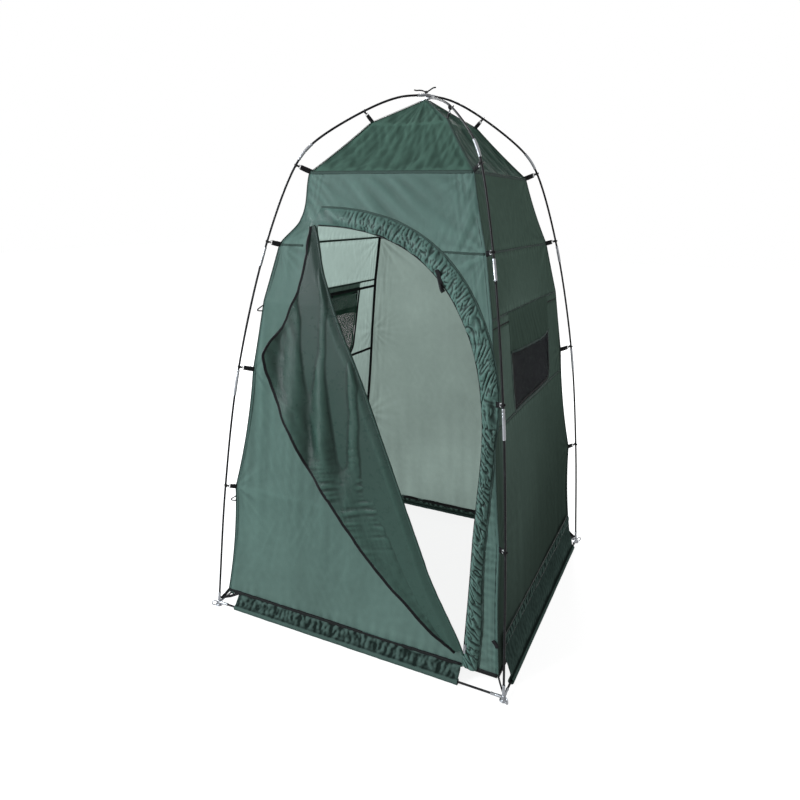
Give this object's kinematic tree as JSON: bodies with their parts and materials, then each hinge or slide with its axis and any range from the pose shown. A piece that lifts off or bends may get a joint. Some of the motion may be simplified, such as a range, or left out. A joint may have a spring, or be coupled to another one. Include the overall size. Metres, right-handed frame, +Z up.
{
  "type": "privacy shelter",
  "caption": "Square pole-framed privacy shelter with crossed arches, a pyramid roof, mesh side windows and an arched zip door whose flap folds back along a slant.",
  "frame": {"origin": "on the ground, midway between the four feet, under the crown", "axes": "+Z up; -Y towards the door; +X to the right of a person facing the door"},
  "size_m": [1.3494, 1.3494, 2.1562],
  "materials": {
    "black_rod": "smooth black glass-fibre rod, slightly glossy",
    "steel": "plated steel tube, satin",
    "wall_cloth": "coated green polyester taffeta with a soft sheen, lets daylight through",
    "roof_cloth": "coated dark green polyester taffeta",
    "flap_cloth": "coated inner face of the polyester, glossier",
    "skirt_cloth": "dark green coated cloth, gathered",
    "window_mesh": "fine black insect mesh",
    "webbing": "black woven tape with moulded black hooks"
  },
  "bodies": {
    "shelter": {"front_left_lower_rod": "black_rod", "front_left_middle_rod": "black_rod", "front_left_upper_rod": "black_rod", "front_left_elbow": "steel", "front_left_roof_rod": "black_rod", "front_left_foot": "steel", "front_left_webbing": "webbing", "front_right_lower_rod": "black_rod", "front_right_middle_rod": "black_rod", "front_right_upper_rod": "black_rod", "front_right_elbow": "steel", "front_right_roof_rod": "black_rod", "front_right_foot": "steel", "front_right_webbing": "webbing", "back_right_lower_rod": "black_rod", "back_right_middle_rod": "black_rod", "back_right_upper_rod": "black_rod", "back_right_elbow": "steel", "back_right_roof_rod": "black_rod", "back_right_foot": "steel", "back_right_webbing": "webbing", "back_left_lower_rod": "black_rod", "back_left_middle_rod": "black_rod", "back_left_upper_rod": "black_rod", "back_left_elbow": "steel", "back_left_roof_rod": "black_rod", "back_left_foot": "steel", "back_left_webbing": "webbing", "front_base_pole": "black_rod", "right_base_pole": "black_rod", "back_base_pole": "black_rod", "left_base_pole": "black_rod", "upper_crown_ferrule": "steel", "lower_crown_ferrule": "steel", "front_header": "wall_cloth", "front_right_jamb": "wall_cloth", "front_left_panel": "wall_cloth", "back_wall": "wall_cloth", "left_wall": "wall_cloth", "right_wall": "wall_cloth", "left_window_hood": "wall_cloth", "right_window_hood": "wall_cloth", "arch_cover": "wall_cloth", "front_roof": "roof_cloth", "front_skirt": "skirt_cloth", "right_roof": "roof_cloth", "right_skirt": "skirt_cloth", "back_roof": "roof_cloth", "back_skirt": "skirt_cloth", "left_roof": "roof_cloth", "left_skirt": "skirt_cloth", "crown_tie_knot": "webbing", "crown_tie_left": "webbing", "crown_tie_right": "webbing"},
    "door_flap": {"door_flap": "flap_cloth"},
    "zip_slider": {"zip_slider": "steel"},
    "zip_pull": {"zip_pull": "steel"},
    "left_window": {"left_window_mesh": "window_mesh"},
    "right_window": {"right_window_mesh": "window_mesh"}
  },
  "joints": [
    {"name": "door_fold", "type": "hinge", "parent": "shelter", "child": "door_flap", "pos_m": [-0.275, -0.39938, 1.628], "axis": [-0.4407, 0.1277, 0.8885], "range_deg": [0, 166]},
    {"name": "zip_slide", "type": "slide", "parent": "shelter", "child": "zip_slider", "axis": [0, 0.0825, 0.9966], "range_m": [0, 0.4]},
    {"name": "zip_pull_swing", "type": "hinge", "parent": "zip_slider", "child": "zip_pull", "pos_m": [0.485, -0.62466, 0.15654], "axis": [-1, 0, 0], "range_deg": [0, 150]},
    {"name": "left_window_swing", "type": "hinge", "parent": "shelter", "child": "left_window", "pos_m": [-0.50326, -0.25, 1.1], "axis": [-0.1324, 0, -0.9912], "range_deg": [0, 55]},
    {"name": "right_window_swing", "type": "hinge", "parent": "shelter", "child": "right_window", "pos_m": [0.50326, -0.25, 1.1], "axis": [-0.1324, 0, 0.9912], "range_deg": [0, 55]}
  ]
}
